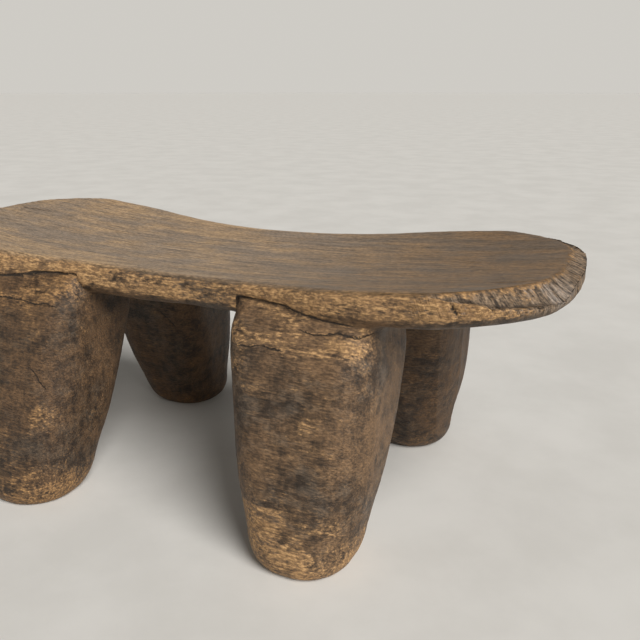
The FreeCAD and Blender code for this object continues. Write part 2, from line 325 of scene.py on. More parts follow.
def inset_from_outline(points):
    """How far each point lies inside the seat's plan outline near its ends, in mm."""
    high = Vector(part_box(SEAT)[1]) / MM
    from_end = END_BOW - np.hypot(np.abs(points[:, 0]) + END_BOW - high.x, points[:, 1])
    from_side = high.y - np.abs(points[:, 1])
    in_corner = (from_end < CORNER) & (from_side < CORNER)
    round_off = CORNER - np.hypot(CORNER - from_end, CORNER - from_side)
    return np.where(in_corner, round_off, np.minimum(from_end, from_side))


CHOP_WIDTH = 12.0
CHOP_UNEVENNESS = 1.6
CHOP_PATCH = 34
CHOP_PLACE = (176, 260)
CHOP_SLOPE = 0.6  # fall for each mm outwards
CHOP_HANDLED_SLOPE = 0.45  # added to it at the handled corners
CHOP_EDGE = (0.0, 1.5)
CHOP_DEPTH = 14  # how far below the dish the end grain's mask reaches
CHOP_FLOOR = 150  # the height it stops at in any case
LIP_WIDTH = 3.0
LIP_DEPTH = 4
LIP_LEAST_CHOP = 3


def chop_ends(skin):
    """Slopes each end's upper edge outwards, as an axe leaves it, and marks the slope as end grain."""
    points = skin.points
    x, y, z = points.T
    high_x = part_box(SEAT)[1].x / MM
    dish = DISH_MIDDLE + DISH_RISE * (x / high_x) ** 2 + y**2 / (2 * CROSS_RADIUS)
    inset = np.maximum(inset_from_outline(points), 0)
    in_plan = points * (1, 1, 0)
    width = CHOP_WIDTH + CHOP_UNEVENNESS * layered_noise(in_plan, CHOP_PATCH, SEEDS["chop"], 2)
    width *= smooth_step(np.abs(x), *CHOP_PLACE)
    slope = np.maximum(width - inset, 0)
    limit = dish - (CHOP_SLOPE + CHOP_HANDLED_SLOPE * skin.masks["handled_and_sheen"]) * slope
    is_cut = (slope > 0) & (z > limit)
    points[is_cut, 2] = limit[is_cut]
    facet = smooth_step(slope, *CHOP_EDGE) * (z > CHOP_FLOOR) * (z > dish - CHOP_DEPTH)
    skin.masks["end"] = np.maximum(skin.masks["end"], skin.spread(facet, 1))
    skin.masks["top"] *= 1 - skin.masks["end"]
    lip = np.exp(-(((inset - width) / LIP_WIDTH) ** 2)) * (width > LIP_LEAST_CHOP) * (z > dish - LIP_DEPTH)
    skin.masks["lip"] = skin.spread(lip, 1)


SHOULDER_LEAN = 4.5
SHOULDER_WIDENING = 2.6
SHOULDER_PLACE = (70, 84)
WAIST_PLACE = (132, 76)
LEAN_HEIGHT = (155, 176)
WIDENING_HEIGHT = (128, 165)


def sink_shoulders(skin):
    """Leans each leg's outer shoulder back under the waist, and widens it a little towards the middle."""
    x, y, z = skin.points.T
    outer = skin.masks["leg"] * smooth_step(np.abs(y), *SHOULDER_PLACE)
    moved = outer * smooth_step(np.abs(x), *WAIST_PLACE)
    skin.points[:, 1] -= np.sign(y) * SHOULDER_LEAN * moved * smooth_step(z, *LEAN_HEIGHT)
    skin.points[:, 0] -= np.sign(x) * SHOULDER_WIDENING * moved * smooth_step(z, *WIDENING_HEIGHT)


BULGE = 0.9
BULGE_SIZE = 80
RIM_WANDER = 1.1
RIM_WANDER_SIZE = (42, 42, 90)
SCOOP_SIZE = (34, 34, 30)
SCOOP_MIDDLE = 0.25
SCOOP_ON_LEG = 0.30
SCOOP_ON_UNDERSIDE = 0.8
TOP_CALM = 0.6


def rough_out(skin):
    """The large unevenness of work done by eye: bulges, a wandering rim and adze scoops."""
    points = skin.points
    masks = skin.masks
    bulge = BULGE * layered_noise(points, BULGE_SIZE, SEEDS["bulge"], 2)
    wander = RIM_WANDER * masks["rim"] * layered_noise(points, RIM_WANDER_SIZE, SEEDS["rim"], 2)
    scoop = scallops(points, SCOOP_SIZE, SEEDS["scoop"]) - SCOOP_MIDDLE
    on_work = SCOOP_ON_LEG * masks["leg"] + SCOOP_ON_UNDERSIDE * masks["under"]
    calm_top = 1 - TOP_CALM * masks["top"]
    skin.push(bulge * calm_top + wander + scoop * on_work)


FACET_CUTS = 10
FACET_RADIUS = 50
FACET_STRENGTH = 0.75
FACET_TWIST = 0.15  # radians
FACET_TWIST_TURNS = 3
FACET_RISE = (0.02, 0.15)  # share of the leg's height over which the cuts fade in
LEG_MIDDLE_AT_FOOT = 34  # from the leg's outermost side
LEG_MIDDLE_RISE = 46  # how much further in it is at the head


def facet_back_leg(skin):
    """Upright adze cuts left standing on the far right leg."""
    low, high = (Vector(corner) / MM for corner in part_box("leg_back_right"))
    x, y, z = skin.points.T
    rise = z / high.z
    middle_x = (low.x + high.x) / 2
    middle_y = high.y - (LEG_MIDDLE_AT_FOOT + LEG_MIDDLE_RISE * rise)
    turn = np.arctan2(y - middle_y, x - middle_x) + FACET_TWIST * np.sin(rise * FACET_TWIST_TURNS)
    wedge = 2 * np.pi / FACET_CUTS
    off_middle = np.abs(turn % wedge - wedge / 2)
    depth = FACET_RADIUS * (1 - np.cos(wedge / 2) / np.cos(off_middle))
    mine = skin.masks["leg"] * (x > 0) * (y > 0) * smooth_step(rise, *FACET_RISE)
    skin.push(-FACET_STRENGTH * np.maximum(depth, 0) * mine)


# Cracks that can be picked out: start, end, axis they are seen along, side of that axis, depth.
CRACKS = [
    ((112, -115, 165), (168, -115, 166), 1, -1, 0.3),
    ((70, -115, 151), (112, -115, 153), 1, -1, 0.25),
    ((-97, -125, 112), (-80, -125, 94), 1, -1, 0.5),
    ((222, -62, 200), (254, -55, 200), 2, 1, 0.6),
    ((-250, 30, 200), (-214, 36, 200), 2, 1, 0.6),
    ((-60, 20, 180), (-10, 23, 180), 2, 1, 0.2),
    ((60, 112, 163), (150, 112, 164), 1, 1, 0.5),
    ((-160, 112, 158), (-92, 112, 161), 1, 1, 0.5),
    ((-152, -118, 158), (-70, -118, 156), 1, -1, 0.4),
]
CRACK_WANDER = ((2.2, 17), (0.8, 6))  # how far a crack strays from straight, and over what size
CRACK_FADE = 0.22  # share of its length over which each end fades
CRACK_FACING = (0.1, 0.4)
CRACK_REACH = 3.2  # how wide the wood dips towards a crack's line
CRACK_LEAST = 0.3  # strength below which a crack has no line
NO_CRACK = 9.0  # kept where no crack is near
CREASE_DEPTH = 0.7
CREASE_BREAK_SIZE = 16
CREASE_BREAKS = 0.6
CREASE_LIMITS = (0.1, 1.2)


def crack_field(points, start, end, drop, seed):
    """Signed distance in mm from a wandering line between two points, seen along the axis drop.

    Also gives 1 along the line, fading to 0 past its ends.
    """
    keep = [axis for axis in range(3) if axis != drop]
    a = np.array(start, float)[keep]
    b = np.array(end, float)[keep]
    length = np.linalg.norm(b - a)
    along = (b - a) / length
    flat = points[:, keep] - a
    offset = flat @ np.array([-along[1], along[0]])
    for layer, (amount, size) in enumerate(CRACK_WANDER):
        offset += amount * gradient_noise(points / size, seed + layer)
    share = flat @ along / length
    return offset, smooth_step(np.minimum(share, 1 - share), 0, CRACK_FADE)


def crack_depth(skin):
    """All the picked-out cracks and the crease over each leg's shoulder, as depth in mm."""
    normals = skin.normals()
    total = np.zeros(len(skin.points))
    line = np.full(len(skin.points), NO_CRACK)
    for number, (start, end, drop, side, depth) in enumerate(CRACKS):
        seed = SEEDS["crack"] + len(CRACK_WANDER) * number
        offset, reach = crack_field(skin.points, start, end, drop, seed)
        faces = smooth_step(side * normals[:, drop], *CRACK_FACING) * reach
        total = np.maximum(total, depth * faces * smooth_step(np.abs(offset), CRACK_REACH, 0))
        mine = (faces > CRACK_LEAST) & (np.abs(offset) < np.abs(line))
        line[mine] = offset[mine] / np.maximum(faces[mine], CRACK_LEAST)
    skin.masks["crack_line"] = line
    noise = layered_noise(skin.points, CREASE_BREAK_SIZE, SEEDS["crease"], 2)
    broken = np.clip(CREASE_BREAKS + CREASE_BREAKS * noise, *CREASE_LIMITS)
    return total + CREASE_DEPTH * skin.masks["crease"] * broken


FAN_CENTRE = 150.0  # from the middle: the torn fibres of each end fan out from here
FAN_RADIUS = 110.0
FAN_LEAN = 0.35  # how far round the fibres slip for each mm of height
FAN_LEVEL = 185  # height at which they haven't slipped
TORN_SIZE = (30, 5.0, 24)
TORN_DEPTH = 0.42
TORN_MIDDLE = 0.3
OPENING_SIZE = (60, 9, 40)
OPENING_EDGE = (0.9, 1.0)
OPENING_DEPTH = 0.6
CHIP_SIZE = 13
CHIP_EDGE = (0.25, 0.8)
CHIP_DEPTH = 0.45
DEEPEST_CHECK = 1.3


def fan_places(points):
    """Where each point lies in its end's fan: mm round it and mm out from its centre."""
    along = np.abs(points[:, 0]) - FAN_CENTRE
    around = np.arctan2(points[:, 1], along) * FAN_RADIUS + FAN_LEAN * (points[:, 2] - FAN_LEVEL)
    return around, np.hypot(points[:, 1], along)


def end_checks(skin):
    """Splits and torn fibres in the chopped end grain, as depth in mm."""
    points = skin.points
    around, outward = fan_places(points)
    skin.masks["around"] = around
    skin.masks["outward"] = outward
    fan = np.column_stack([outward, around, points[:, 2]])
    torn = layered_noise(fan, TORN_SIZE, SEEDS["torn"], 3)
    opening = 1 - np.abs(gradient_noise(fan / OPENING_SIZE, SEEDS["opening"]))
    chips = smooth_step(layered_noise(points, CHIP_SIZE, SEEDS["chip"], 2), *CHIP_EDGE)
    depth = TORN_DEPTH * (torn + TORN_MIDDLE)
    depth += OPENING_DEPTH * smooth_step(opening, *OPENING_EDGE) + CHIP_DEPTH * chips
    return skin.masks["end"] * depth


FIBRE_SIZE = (26, 5.0, 5.0)
LUMP_SIZE = (14, 8, 8)
PIT_SIZE = (10, 6, 6)
PIT_EDGE = (0.6, 1.0)
GRAIN_SIZE = (110, 6, 12)
SHOULDER_SHARE = 0.7  # the shoulders are this much as torn as the rim
RIM_TEARING = 0.35
PIT_DEPTH = 0.7
TOP_GRAIN = 0.10
PLAIN_LUMPS = 0.10
PLAIN_FIBRES = 0.12


def surface_detail(skin):
    """Raised grain, torn rim fibres, pits and cracks."""
    points = skin.points
    masks = skin.masks
    rim = np.clip(masks["rim"] + SHOULDER_SHARE * masks["shoulder"], 0, 1)
    fibres = layered_noise(points, FIBRE_SIZE, SEEDS["fibre"], 3)
    lumps = layered_noise(points, LUMP_SIZE, SEEDS["lump"], 2)
    pits = smooth_step(layered_noise(points, PIT_SIZE, SEEDS["pit"], 2), *PIT_EDGE)
    grain = layered_noise(points, GRAIN_SIZE, SEEDS["grain"], 2)
    cracks = crack_depth(skin)
    checks = end_checks(skin)
    amount = rim * (RIM_TEARING * (fibres + lumps) - PIT_DEPTH * pits)
    amount += TOP_GRAIN * masks["top"] * grain
    amount += (1 - masks["top"]) * (PLAIN_LUMPS * lumps + PLAIN_FIBRES * fibres)
    amount -= cracks + checks
    skin.push(amount)
    masks["check"] = np.clip(checks / DEEPEST_CHECK, 0, 1)


HOLLOW_ROUNDS = 6
HOLLOW_DEPTH = 0.7


def hollowness(skin):
    """How far each point lies below its neighbourhood: about -1 on an edge to 1 in a hollow."""
    normals = skin.normals()
    smooth = np.stack([skin.spread(column, HOLLOW_ROUNDS) for column in skin.points.T], axis=1)
    return np.clip(np.einsum("ij,ij->i", smooth - skin.points, normals) / HOLLOW_DEPTH, -1, 1)


# Painted shade: colour darkened on the right of the top and on three legs, for how the light falls there.
PAINTED_SHADE_TOP_PLACE = (-20, 230)
PAINTED_SHADE_BACK = 0.8
PAINTED_SHADE_BACK_PLACE = (20, 50)
PAINTED_SHADE_LEFT = 0.52
PAINTED_SHADE_LEFT_ALONG = (-30, -60)
PAINTED_SHADE_LEFT_ACROSS = (-20, -50)


def painted_shade(skin):
    """Painted shade: the top darker towards its right end, and three of the legs darker, for how the light
    falls on them.
    """
    x, y, _ = skin.points.T
    top = skin.masks["top"] * smooth_step(x, *PAINTED_SHADE_TOP_PLACE)
    back = PAINTED_SHADE_BACK * smooth_step(y, *PAINTED_SHADE_BACK_PLACE)
    front_left = PAINTED_SHADE_LEFT * smooth_step(x, *PAINTED_SHADE_LEFT_ALONG) * smooth_step(y, *PAINTED_SHADE_LEFT_ACROSS)
    return np.clip(top + skin.masks["leg"] * (back + front_left), 0, 1)


# Scuffs worn through the patina: middle, half sizes and strength. Below 0 the patina is whole, and the patch
# is painted shade, darker where less light reaches.
SCUFFS_AND_SHADE_PATCHES = [
    ((104, -128, 42), (40, 30, 10), 0.62),
    ((128, -125, 105), (6, 20, 9), 0.40),
    ((76, -112, 140), (16, 25, 14), 0.36),
    ((92, -118, 126), (24, 20, 5), 0.26),
    ((80, -120, 70), (14, 20, 9), 0.18),
    ((-92, -118, 148), (17, 25, 14), 0.40),
    ((-86, -128, 78), (12, 25, 11), 0.30),
    ((-120, -135, 52), (26, 25, 12), 0.26),
    ((104, -130, 20), (42, 32, 9), 0.18),
    ((100, -110, 178), (50, 14, 12), 0.14),
    # below 0: painted shade on the front left leg's middle and on the two back feet
    ((-95, -125, 98), (45, 32, 34), -0.12),
    ((124, 110, 18), (60, 60, 22), -0.20),
    ((-115, 101, 18), (60, 60, 22), -0.20),
    ((132, 128, 44), (30, 30, 8), 0.30),
    ((-112, 128, 62), (18, 25, 14), 0.30),
    ((-90, 122, 132), (26, 25, 9), 0.26),
]
PATCH_SIZE = (34, 26, 20)
WEAR_ANYWHERE = 0.13
WEAR = {"rim": 0.50, "end": 0.10, "leg": 0.07, "lip": 0.45, "top": -0.18, "under": -0.20}
WEAR_SHOULDER = 0.58
WEAR_SHOULDER_HEIGHT = (146, 160)
WEAR_BRINK = 0.46
WEAR_FOOT = 0.43
SHADED_BACK_FOOT_WEAR = 0.5  # share of that on the two back feet, kept low so they stay darker as painted shade
WEAR_PATCHES = 0.20
WEAR_PATCHES_CALM = 0.6
WEAR_HOLLOW = 0.30
SCUFF_EVENNESS = 0.7
SCUFF_PATCHES = 0.6


def wear_and_tone(skin):
    """Where bare wood shows through the patina, where dirt has gathered, and where shade is painted."""
    points = skin.points
    masks = skin.masks
    _, y, z = points.T
    hollow = hollowness(skin)
    patches = layered_noise(points, PATCH_SIZE, SEEDS["patch"], 3)
    worn = 0.5 + 0.5 * patches
    wear = WEAR_ANYWHERE + sum(amount * masks[name] for name, amount in WEAR.items())
    wear += WEAR_SHOULDER * masks["shoulder"] * smooth_step(z, *WEAR_SHOULDER_HEIGHT) * worn
    wear += WEAR_BRINK * masks["brink"] * masks["top"] * worn
    wear += WEAR_FOOT * masks["foot"] * np.where(y < 0, 1, SHADED_BACK_FOOT_WEAR)
    wear += WEAR_PATCHES * patches * (1 - WEAR_PATCHES_CALM * masks["top"])
    wear -= WEAR_HOLLOW * np.clip(hollow, -0.5, 1)
    # scuffs add wear; the patches below 0 take it away as painted shade
    for middle, sizes, strength in SCUFFS_AND_SHADE_PATCHES:
        away = (points - np.array(middle, float)) / np.array(sizes, float)
        fade = np.exp(-np.einsum("ij,ij->i", away, away))
        wear += strength * fade * (SCUFF_EVENNESS + SCUFF_PATCHES * patches)
    masks["wear"] = np.clip(wear, 0, 1)
    masks["hollow"] = np.clip(0.5 + 0.5 * hollow, 0, 1)
    # painted shade, kept on the mesh for the wood material
    masks["painted_shade"] = painted_shade(skin)


SMOOTHING = 0.6
SMOOTHING_ROUNDS = 3


def carve():
    """The whole carving, from merged CAD to a finished skin, and each point's height over the seam."""
    skin = merged_skin()
    to_seat, seat_facing = distance_to([SEAT], skin.points)
    to_leg, _ = distance_to(LEGS, skin.points)
    ease_junctions(skin, to_seat, to_leg, seat_facing)
    skin.relax(SMOOTHING, SMOOTHING_ROUNDS)
    mark_regions(skin, to_seat, to_leg, seat_facing)
    lift_ends(skin)
    chop_ends(skin)
    sink_shoulders(skin)
    rough_out(skin)
    facet_back_leg(skin)
    surface_detail(skin)
    wear_and_tone(skin)
    skin.points[:, 2] = np.maximum(skin.points[:, 2], 0)
    return skin, to_seat - SEAM_REACH


# ---------------------------------------------------------------- cutting into pieces

BEFORE_MASKS = 6  # columns of the table: a point, its normal, and then its masks


def cut_along(skin, height):
    """Splits every face that crosses height 0, so that a clean seam runs round each leg.

    Gives points, normals, masks, faces with the side each is on, and the seam's segments.
    """
    height = np.where(np.abs(height) < SEAM_CLEARANCE, SEAM_CLEARANCE, height)
    normals = skin.normals()
    columns = [skin.points, normals, np.stack(list(skin.masks.values()), axis=1)]
    table = np.concatenate(columns, axis=1)
    over = height > 0
    count = over[skin.faces].sum(axis=1)
    whole = (count == 0) | (count == 3)
    faces = [skin.faces[whole]]
    below = [count[whole] == 3]
    extra = {}
    rows = []
    split_faces = []
    split_below = []
    segments = []

    def crossing(a, b):
        key = (min(a, b), max(a, b))
        if key not in extra:
            share = height[a] / (height[a] - height[b])
            extra[key] = len(table) + len(rows)
            rows.append(table[a] + (table[b] - table[a]) * share)
        return extra[key]

    for face in skin.faces[~whole]:
        lone = 0 if over[face[1]] == over[face[2]] else (1 if over[face[0]] == over[face[2]] else 2)
        a, b, c = (int(face[(lone + step) % 3]) for step in range(3))
        ab = crossing(a, b)
        ac = crossing(a, c)
        split_faces += [(a, ab, ac), (ab, b, c), (ab, c, ac)]
        is_leg = bool(over[a])
        split_below += [is_leg, not is_leg, not is_leg]
        segments.append((ab, ac) if is_leg else (ac, ab))
    faces.append(np.array(split_faces, np.int64))
    below.append(np.array(split_below))
    table = np.concatenate([table, np.array(rows)])
    return table, np.concatenate(faces), np.concatenate(below), segments


def seam_caps(table, segments):
    """A fan over each leg's top. Gives the table with the fans' middles, and the fans by quadrant."""
    ends = np.array(segments, np.int64)
    middle = table[ends[:, 0], :3]
    fans = {}
    for side_x, side_y in itertools.product((1, -1), repeat=2):
        mine = ends[(np.sign(middle[:, 0]) == side_x) & (np.sign(middle[:, 1]) == side_y)]
        centre = table[mine[:, 0]].mean(axis=0)
        fans[side_x, side_y] = np.column_stack([mine[:, 1], mine[:, 0], np.full(len(mine), len(table))])
        table = np.vstack([table, centre])
    return table, fans


def make_piece(name, table, faces, mask_names):
    """One closed mesh object made of those faces, shaded as part of the whole skin."""
    used, local = np.unique(faces, return_inverse=True)
    rows = table[used]
    mesh = bpy.data.meshes.new(name)
    mesh.from_pydata(rows[:, :3] * MM, [], local.reshape(-1, 3).tolist())
    mesh.validate()
    for offset, mask in enumerate(mask_names):
        attribute = mesh.attributes.new(mask, "FLOAT", "POINT")
        attribute.data.foreach_set("value", np.ascontiguousarray(rows[:, BEFORE_MASKS + offset], np.float32))
    mesh.polygons.foreach_set("use_smooth", np.ones(len(mesh.polygons), bool))
    mesh.normals_split_custom_set_from_vertices(rows[:, 3:6].tolist())
    piece = bpy.data.objects.new(name, mesh)
    bpy.context.scene.collection.objects.link(piece)
    return piece


def make_pieces(skin, height):
    """The seat and the four legs as separate closed pieces, by CAD node."""
    table, faces, below, segments = cut_along(skin, height)
    table, fans = seam_caps(table, segments)
    names = list(skin.masks)
    middle = table[faces[:, 0], :3]
    pieces = {}
    seat_faces = [faces[~below]]
    for leg in LEGS:
        low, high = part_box(leg)
        side_x = 1 if low.x + high.x > 0 else -1
        side_y = 1 if low.y + high.y > 0 else -1
        mine = below & (np.sign(middle[:, 0]) == side_x) & (np.sign(middle[:, 1]) == side_y)
        fan = fans[side_x, side_y]
        pieces[leg] = make_piece("carved_" + leg, table, np.concatenate([faces[mine], fan]), names)
        seat_faces.append(fan[:, ::-1])
    pieces[SEAT] = make_piece("carved_seat", table, np.concatenate(seat_faces), names)
    return pieces


# ---------------------------------------------------------------- wood

NOISE_MIDDLE = (0.34, 0.66)  # where nearly all of a noise's values lie


class Graph:
    """Short ways to add and join a material's nodes."""

    def __init__(self, material):
        material.use_nodes = True
        self.tree = material.node_tree
        self.tree.nodes.clear()

    def add(self, kind, inputs=None, **settings):
        node = self.tree.nodes.new(kind)
        for name, value in settings.items():
            setattr(node, name, value)
        for socket, value in (inputs or {}).items():
            self.give(node.inputs[socket], value)
        return node

    def give(self, socket, value):
        if isinstance(value, bpy.types.NodeSocket):
            self.tree.links.new(value, socket)
        else:
            socket.default_value = value

    def mask(self, name):
        """One of the numbers kept on the mesh."""
        return self.add("ShaderNodeAttribute", attribute_name=name).outputs["Fac"]

    def noise(self, place, scale, detail=4.0, roughness=0.6, distortion=0.0):
        """Noise with its own scale, per metre, along each axis."""
        stretched = self.add(
            "ShaderNodeVectorMath", {0: place, 1: scale}, operation="MULTIPLY"
        ).outputs[0]
        settings = {
            "Vector": stretched,
            "Scale": 1.0,
            "Detail": detail,
            "Roughness": roughness,
            "Distortion": distortion,
        }
        return self.add("ShaderNodeTexNoise", settings).outputs["Fac"]

    def math(self, operation, first, second=0.0):
        return self.add("ShaderNodeMath", {0: first, 1: second}, operation=operation).outputs[0]

    def total(self, *parts):
        """Sum of (value, weight) pairs."""
        result = 0.0
        for value, weight in parts:
            step = self.add(
                "ShaderNodeMath", {0: value, 1: weight, 2: result}, operation="MULTIPLY_ADD"
            )
            result = step.outputs[0]
        return result

    def weighted(self, values, weights):
        """Sum of the named values, each times its weight."""
        return self.total(*((values[name], weight) for name, weight in weights.items()))

    def lively(self, place, scale, detail=4.0, roughness=0.6, distortion=0.0):
        """The same noise with its middle values stretched to run from 0 to 1."""
        soft = self.noise(place, scale, detail, roughness, distortion)
        low, high = NOISE_MIDDLE
        return self.add("ShaderNodeMapRange", {"Value": soft, 1: low, 2: high}).outputs[0]

    def step(self, value, low, high, to_low=0.0, to_high=1.0):
        """Smooth climb from to_low to to_high as value goes from low to high."""
        inputs = {"Value": value, 1: low, 2: high, 3: to_low, 4: to_high}
        return self.add("ShaderNodeMapRange", inputs, interpolation_type="SMOOTHSTEP").outputs[0]

    def mix(self, share, first, second, blend="MIX"):
        """Colour mix."""
        node = self.add("ShaderNodeMix", data_type="RGBA", blend_type=blend)
        self.give(node.inputs[0], share)
        self.give(node.inputs[6], first)
        self.give(node.inputs[7], second)
        return node.outputs[2]


def rgb(red, green, blue):
    """Linear colour with full alpha."""
    return (red, green, blue, 1.0)


PATINA_DEEP = rgb(0.030, 0.018, 0.010)
PATINA_BROWN = rgb(0.168, 0.098, 0.049)
PATINA_GREY = rgb(0.122, 0.096, 0.072)
TOP_GREY = rgb(0.256, 0.187, 0.128)
TOP_TAN = rgb(0.425, 0.280, 0.152)
TOP_LINE = rgb(0.092, 0.062, 0.038)
RUBBED = rgb(0.222, 0.130, 0.062)
BARE_DEEP = rgb(0.215, 0.120, 0.053)
BARE_PALE = rgb(0.462, 0.280, 0.127)
END_DARK = rgb(0.032, 0.021, 0.013)
END_PALE = rgb(0.300, 0.208, 0.130)
# painted reflection: the grey sheen put on one corner of each end
END_SHEEN = rgb(0.310, 0.275, 0.250)
CRACK = rgb(0.012, 0.008, 0.005)
PAINTED_SHADE_TINT = rgb(0.50, 0.43, 0.33)  # what the wood keeps of its colour under the painted shade

# Noise fields, 0 to 1: scale per metre along each axis, layers, roughness and distortion.
FIELDS = {
    "fibre": ((48, 640, 640), 5, 0.68, 0.0),
    "line": ((15, 400, 400), 4, 0.72, 0.0),
    "hair": ((42, 1000, 1000), 3, 0.65, 0.0),
    "grit": ((330, 900, 900), 2, 0.5, 0.0),
    "streak": ((5, 90, 90), 3, 0.55, 0.3),
    "speckle": ((230, 470, 470), 5, 0.74, 0.0),
    "blotch": ((22, 28, 28), 5, 0.6, 0.0),
    "mottle": ((85, 125, 125), 4, 0.62, 0.0),
    "chisel": ((280, 280, 32), 3, 0.55, 0.0),
}
END_FIBRES = ((0.40, 0.06, 1.0), 5, 0.7, 0.3)  # the same, but per mm round the fan and out from it

# A dict below gives each value's weight in a sum, and the pair after it the ends of a step on that sum.
PATINA_MIX = {"blotch": 0.34, "fibre": 0.24, "mottle": 0.28, "chisel": 0.14}
PATINA_RANGE = (0.22, 0.78)
GREY_MIX = {"blotch": -0.5, "mottle": 0.5}
GREY_RANGE = (-0.05, 0.35)
GREY_SHARE = 0.45
TOP_MIX = {"blotch": 0.55, "streak": 0.45}
TOP_RANGE = (0.2, 0.8)
LINE_MIX = {"line": 0.5, "hair": 0.5}
LINE_RANGE = (0.66, 0.16)
LINE_SHARE = 0.78
END_MIX = {"torn": 0.7, "speckle": 0.3}
END_RANGE = (0.25, 0.8)
SHEEN_MIX = {"blotch": 0.5, "torn": 0.5}
SHEEN_RANGE = (0.45, 0.75)
SHEEN_SHARE = 0.6
BARE_MIX = {"fibre": 0.5, "speckle": 0.5}
BARE_RANGE = (0.25, 0.85)
SHOWING_MIX = {"wear": 1.0, "speckle": 0.50, "fibre": 0.32, "mottle": 0.24}
RUBBED_RANGE = (0.78, 1.25)
RUBBED_SHARE = 0.75
SHOWN_RANGE = (1.02, 1.36)
GRIT_SHADES = (0.68, 1.30)
DIRT_RANGE = (0.55, 0.95)
DIRT_SHARE = 0.6
CRACK_RANGE = (0.1, 0.9)
CRACK_SHARE = 0.9
ROUGHNESS_MIX = {"shown": 0.22, "top": -0.06, "end": 0.10, "fibre": 0.10, "blotch": 0.08}
PLAIN_ROUGHNESS = 0.44
SPECULAR = 0.4


def patina_colour(graph, values):
    """Dark handled skin of the legs and underside: brown, blotched, greyer in places."""
    brown = graph.step(graph.weighted(values, PATINA_MIX), *PATINA_RANGE)
    patina = graph.mix(brown, PATINA_DEEP, PATINA_BROWN)
    grey = graph.step(graph.weighted(values, GREY_MIX), *GREY_RANGE, 0.0, GREY_SHARE)
    return graph.mix(grey, patina, PATINA_GREY)


def polished_colour(graph, values):
    """Seat top: grey-brown to tan, with fine straight grain lines."""
    tan = graph.step(graph.weighted(values, TOP_MIX), *TOP_RANGE)
    polished = graph.mix(tan, TOP_GREY, TOP_TAN)
    lines = graph.step(graph.weighted(values, LINE_MIX), *LINE_RANGE, 0.0, LINE_SHARE)
    return graph.mix(lines, polished, TOP_LINE)


def end_colour(graph, values):
    """Chopped end grain: torn dark fibres, with a painted grey sheen, a painted reflection, at one corner.
    """
    wood = graph.mix(graph.step(graph.weighted(values, END_MIX), *END_RANGE), END_DARK, END_PALE)
    # painted reflection: a grey sheen, limited to those corners by their mask
    sheen = graph.step(graph.weighted(values, SHEEN_MIX), *SHEEN_RANGE, 0.0, SHEEN_SHARE)
    sheen = graph.math("MULTIPLY", sheen, graph.mask("handled_and_sheen"))
    return graph.mix(sheen, wood, END_SHEEN)


def worn_through(graph, values, base):
    """The base rubbed brown and then worn to pale wood, and how bare each place is, 0 to 1."""
    pale = graph.step(graph.weighted(values, BARE_MIX), *BARE_RANGE)
    bare = graph.mix(pale, BARE_DEEP, BARE_PALE)
    showing = graph.weighted(values, SHOWING_MIX)
    rubbed = graph.mix(graph.step(showing, *RUBBED_RANGE, 0.0, RUBBED_SHARE), base, RUBBED)
    shown = graph.step(showing, *SHOWN_RANGE)
    return graph.mix(shown, rubbed, bare), shown


LINE_EDGE = 0.3  # share of a line's half width over which it is fully dark
LINE_WIGGLE = 1.4  # how many mm a line strays with the speckle
CRACK_HALF_WIDTH = 0.65
CREASE_HALF_WIDTH = 1.3
CREASE_RANGE = (0.05, 0.6)
CHECK_RANGE = (0.45, 1.0)


def thin_line(graph, name, wiggle, half_width):
    """1 on the line where a signed distance kept on the mesh, in mm, passes 0."""
    moved = graph.math("ADD", graph.mask(name), wiggle)
    away = graph.math("ABSOLUTE", moved)
    return graph.step(away, half_width, half_width * LINE_EDGE)


def crack_lines(graph, values):
    """1 in the cracks, in the crease over each leg and in the deepest checks of the end grain."""
    wiggle = graph.total((values["speckle"], LINE_WIGGLE), (0.5, -LINE_WIGGLE))
    crease = thin_line(graph, "split", wiggle, CREASE_HALF_WIDTH)
    crease = graph.math("MULTIPLY", crease, graph.step(graph.mask("crease"), *CREASE_RANGE))
    crack = graph.math("MAXIMUM", thin_line(graph, "crack_line", wiggle, CRACK_HALF_WIDTH), crease)
    return graph.math("MAXIMUM", crack, graph.step(graph.mask("check"), *CHECK_RANGE))


RELIEF_MIX = {
    "fibre": 0.30,
    "speckle": 0.22,
    "mottle": 0.22,
    "chisel": 0.12,
    "shown": -0.10,
    "crack": -0.80,
}
END_RELIEF = 0.5
TOP_RELIEF = 0.4  # share of the relief left on the polished top
BUMP_STRENGTH = 0.8
BUMP_DISTANCE = 0.0012


def fine_relief(graph, values):
    """Surface normal with the finest grain and the cracks in it."""
    relief = graph.weighted(values, RELIEF_MIX)
    torn_end = graph.math("MULTIPLY", values["torn"], values["end"])
    relief = graph.total((torn_end, END_RELIEF), (relief, 1.0))
    calmer = graph.step(values["top"], 0.0, 1.0, 1.0, TOP_RELIEF)
    inputs = {
        "Strength": BUMP_STRENGTH,
        "Distance": BUMP_DISTANCE,
        "Height": graph.math("MULTIPLY", relief, calmer),
    }
    return graph.add("ShaderNodeBump", inputs).outputs[0]


